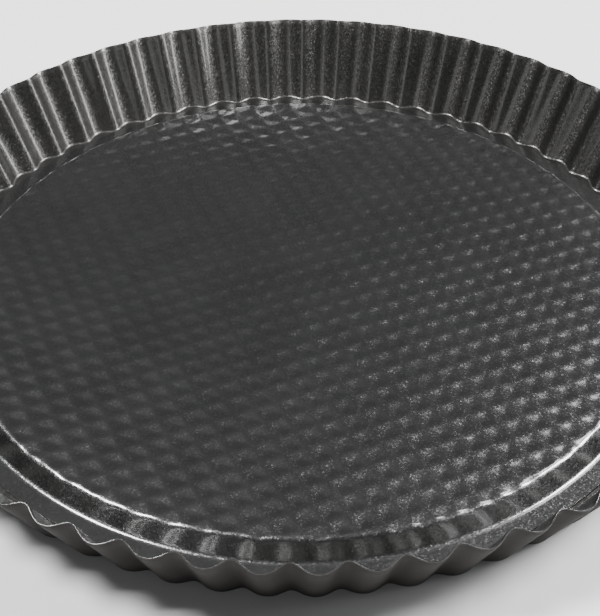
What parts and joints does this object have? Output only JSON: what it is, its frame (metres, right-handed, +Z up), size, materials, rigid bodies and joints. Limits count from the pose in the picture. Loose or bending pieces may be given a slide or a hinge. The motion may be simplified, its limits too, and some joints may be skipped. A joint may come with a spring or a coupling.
{
  "type": "tart pan",
  "caption": "Round coated steel tart pan with a flared fluted side, a bottom ledge and a loose, raised, waffle-embossed base plate that lifts out.",
  "frame": {"origin": "middle of the surface that the pan stands on, on the pan's axis", "axes": "+Z up along the pan's axis, towards its open rim; +X and +Y pass through inward crests of the fluted wall"},
  "size_m": [0.2794, 0.2794, 0.0282],
  "materials": {
    "wall_coating": "satin dark charcoal non-stick coating with a fine metallic sparkle",
    "plate_coating": "satin dark charcoal non-stick coating with a fine metallic sparkle, slightly cooler"
  },
  "bodies": {
    "ring": {"fluted_ring": "wall_coating"},
    "base": {"loose_base": "plate_coating"}
  },
  "joints": [
    {"name": "base_lift", "type": "slide", "parent": "ring", "child": "base", "axis": [0, 0, 1], "range_m": [0, 0.05]}
  ]
}
